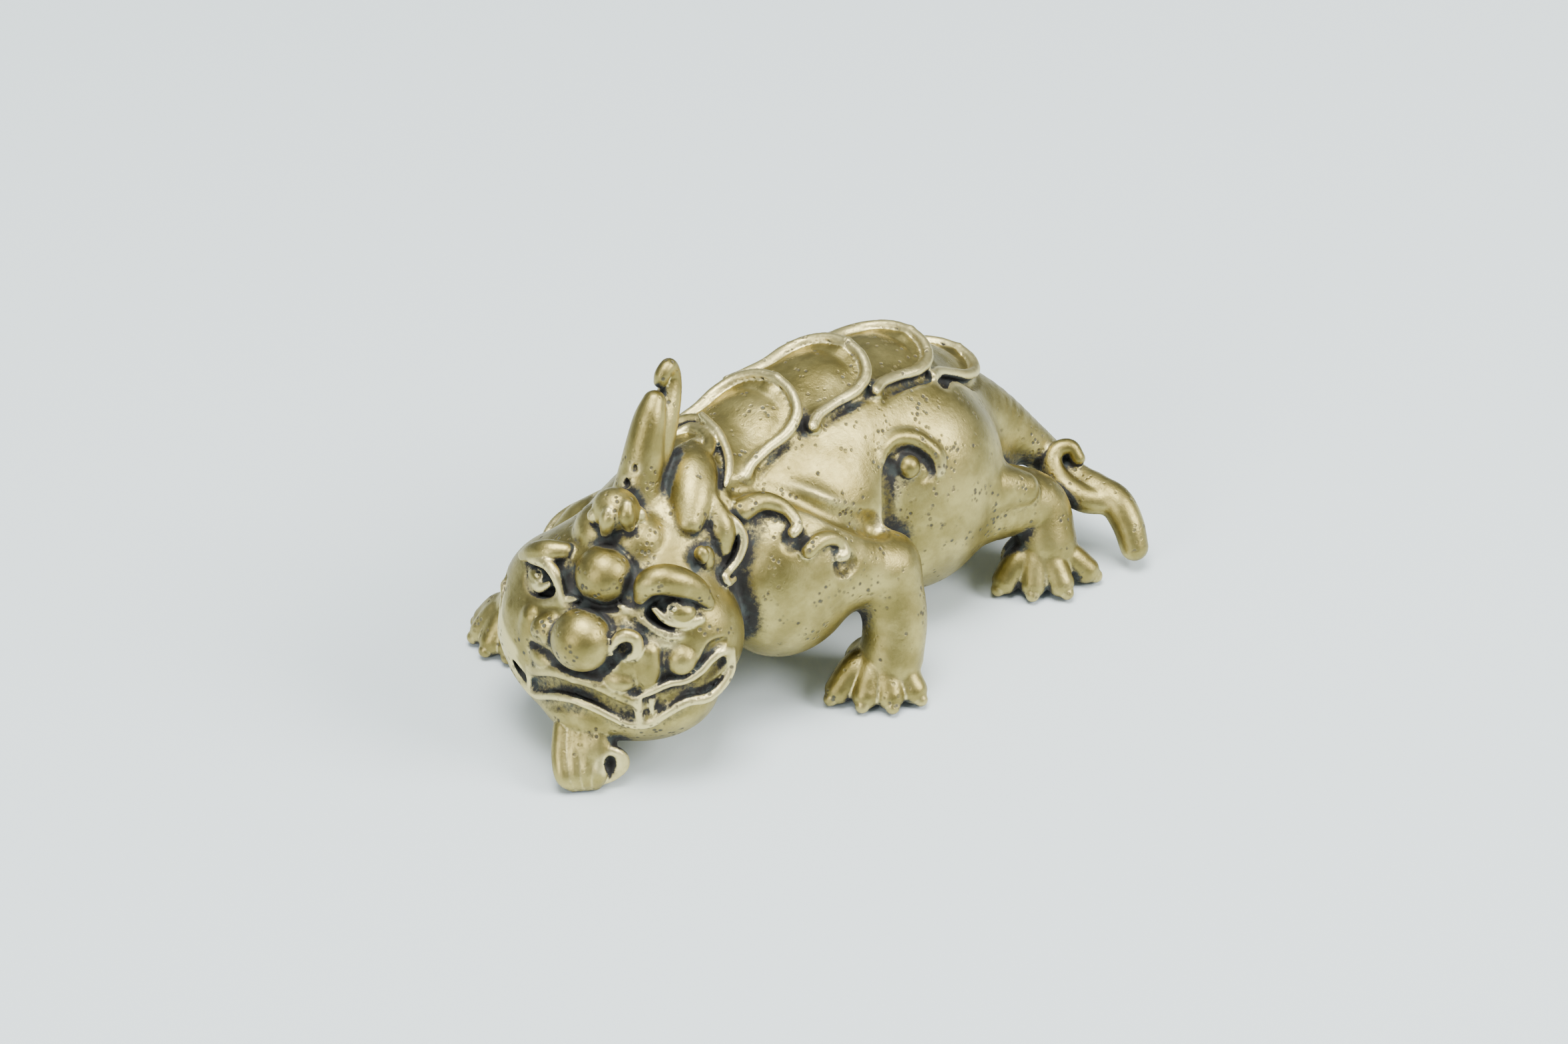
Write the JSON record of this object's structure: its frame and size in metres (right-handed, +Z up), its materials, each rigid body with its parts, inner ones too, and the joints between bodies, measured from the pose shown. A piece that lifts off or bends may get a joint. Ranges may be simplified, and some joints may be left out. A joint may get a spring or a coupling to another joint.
{
  "type": "mythical beast paperweight",
  "caption": "Cast brass paperweight in the form of a crawling mythical beast with a horned head, plated back, clawed feet and a scrolled tail.",
  "frame": {"origin": "centre of the footprint's bounding box, on the plane that the soles stand on", "axes": "-X towards the beast's head, -Y towards its left side, +Z up"},
  "size_m": [0.0703, 0.0422, 0.0376],
  "materials": {
    "cast_brass": "aged cast brass, rubbed bright on the high parts and dark in the recesses"
  },
  "bodies": {
    "root": {"mythical_beast": "cast_brass"}
  },
  "joints": []
}
